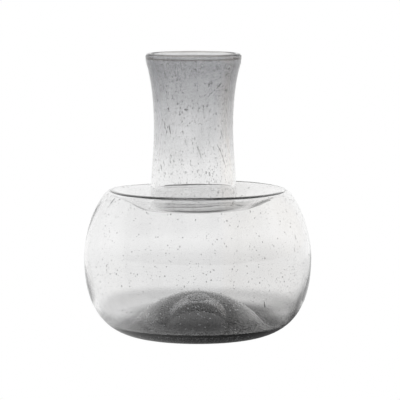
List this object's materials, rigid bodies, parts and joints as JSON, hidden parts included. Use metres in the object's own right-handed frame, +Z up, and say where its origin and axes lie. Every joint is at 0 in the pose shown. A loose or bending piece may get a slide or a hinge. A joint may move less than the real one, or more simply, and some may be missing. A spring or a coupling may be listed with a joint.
{
  "type": "glass bud vase",
  "caption": "Hand-blown bud vase in seeded smoke glass: squat round bowl, shoulder folded into a shallow dish, flared neck and a thick kicked-up base.",
  "frame": {"origin": "middle of the foot ring, on the surface the vase stands on", "axes": "+Z up along the bowl's axis; the neck stands 2.2 mm off it, towards -X; the picture looks along +Y"},
  "size_m": [0.12, 0.12, 0.15],
  "materials": {
    "base_glass": "polished, thick dark smoke grey with many seeds",
    "bowl_glass": "polished, thin and almost clear, with fine seeds",
    "neck_glass": "polished smoke grey, deeper towards the lip, with drawn-out seeds"
  },
  "bodies": {
    "root": {"punted_base": "base_glass", "pontil_mark": "base_glass", "bowl_wall": "bowl_glass", "sunken_collar": "bowl_glass", "neck_tube": "neck_glass", "lip_bead": "neck_glass"}
  },
  "joints": []
}
